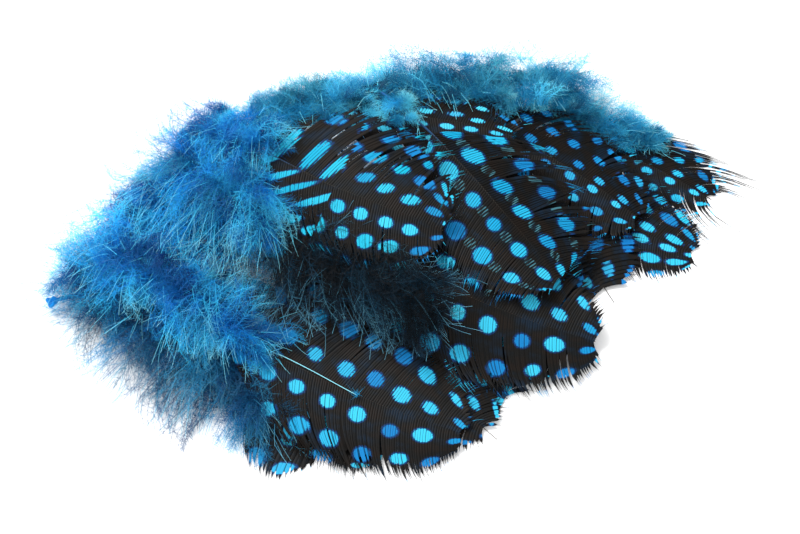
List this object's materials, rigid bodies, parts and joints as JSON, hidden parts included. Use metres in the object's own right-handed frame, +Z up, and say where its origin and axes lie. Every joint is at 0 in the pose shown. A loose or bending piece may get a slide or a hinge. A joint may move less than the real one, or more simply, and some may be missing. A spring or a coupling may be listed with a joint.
{
  "type": "guinea fowl feather bunch",
  "caption": "Bunch of dyed spotted guinea fowl body feathers, strung on a stitched thread through their quills, lying flat with downy bases at one end.",
  "frame": {"origin": "on the surface that the bunch lies on, at the flat underside of the lowest feather, near the middle of the bunch", "axes": "+X along the bunch's long way, from the knotted left end to the right-hand tips; +Z up, away from the surface; the quills lie towards +Y and the spotted tips towards -Y and +X"},
  "size_m": [0.1209, 0.0834, 0.0186],
  "materials": {
    "dyed_spotted_vane": "near-black feather vane with bright turquoise spots, satin barbs, blue down at its base",
    "dyed_down": "loose turquoise to deep blue down, matt and fluffy",
    "dyed_thread": "spun thread dyed bright blue"
  },
  "bodies": {
    "root": {"under_middle_feather": "dyed_spotted_vane", "right_outer_feather": "dyed_spotted_vane", "left_low_down_feather": "dyed_down", "right_lower_feather": "dyed_spotted_vane", "left_end_down_feather": "dyed_down", "right_down_feather": "dyed_down", "lower_left_feather": "dyed_spotted_vane", "right_inner_feather": "dyed_spotted_vane", "left_high_down_feather": "dyed_down", "right_middle_feather": "dyed_spotted_vane", "lower_edge_feather": "dyed_spotted_vane", "top_right_down_feather": "dyed_down", "lower_under_feather": "dyed_spotted_vane", "centre_lower_feather": "dyed_spotted_vane", "left_back_down_feather": "dyed_down", "top_middle_down_feather": "dyed_down", "centre_feather": "dyed_spotted_vane", "middle_under_feather": "dyed_spotted_vane", "top_left_down_feather": "dyed_down", "middle_feather": "dyed_spotted_vane", "top_small_spot_feather": "dyed_spotted_vane", "lower_front_feather": "dyed_spotted_vane", "dark_down_feather": "dyed_down", "top_front_feather": "dyed_spotted_vane", "stitching_thread": "dyed_thread"}
  },
  "joints": []
}
